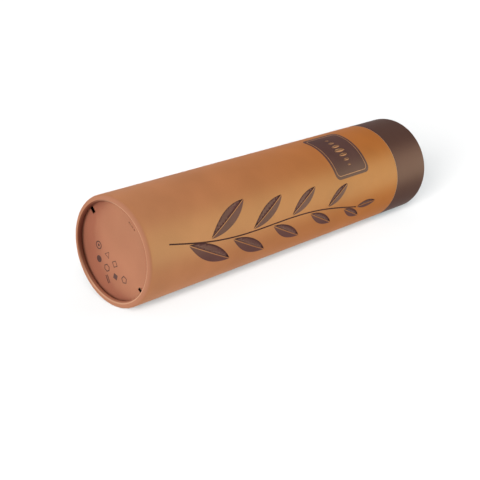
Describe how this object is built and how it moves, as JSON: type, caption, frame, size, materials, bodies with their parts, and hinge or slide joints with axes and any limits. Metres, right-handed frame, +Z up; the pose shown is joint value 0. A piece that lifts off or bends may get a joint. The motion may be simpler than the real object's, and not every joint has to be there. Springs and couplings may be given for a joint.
{
  "type": "paper packaging tube",
  "caption": "Tall round paperboard packing tube with rolled rims, recessed end discs and a push-on lid that lifts off an inner neck.",
  "frame": {"origin": "centre of the ring that the base stands on", "axes": "+Z up along the tube towards the lid; the middle of the printed side faces between +X and -Y"},
  "size_m": [0.1052, 0.1051, 0.419],
  "materials": {
    "copper_paper": "copper-brown wrap paper with a soft satin sheen",
    "copper_disc": "copper-brown paper on board, slightly duller and pinker than the wrap",
    "plain_board": "uncoated kraft board",
    "brown_paper": "dark brown wrap paper with a soft satin sheen",
    "brown_disc": "dark brown paper on board",
    "plum_ink": "dark plum-brown print on the wrap paper"
  },
  "bodies": {
    "tube": {"body_tube": "copper_paper", "base_disc": "copper_disc", "inner_tube": "plain_board", "label_panel": "plum_ink", "sprig_print": "plum_ink"},
    "lid": {"lid_tube": "brown_paper", "lid_disc": "brown_disc"}
  },
  "joints": [
    {"name": "lid_slide", "type": "slide", "parent": "tube", "child": "lid", "axis": [0, 0, 1], "range_m": [0, 0.06]}
  ]
}
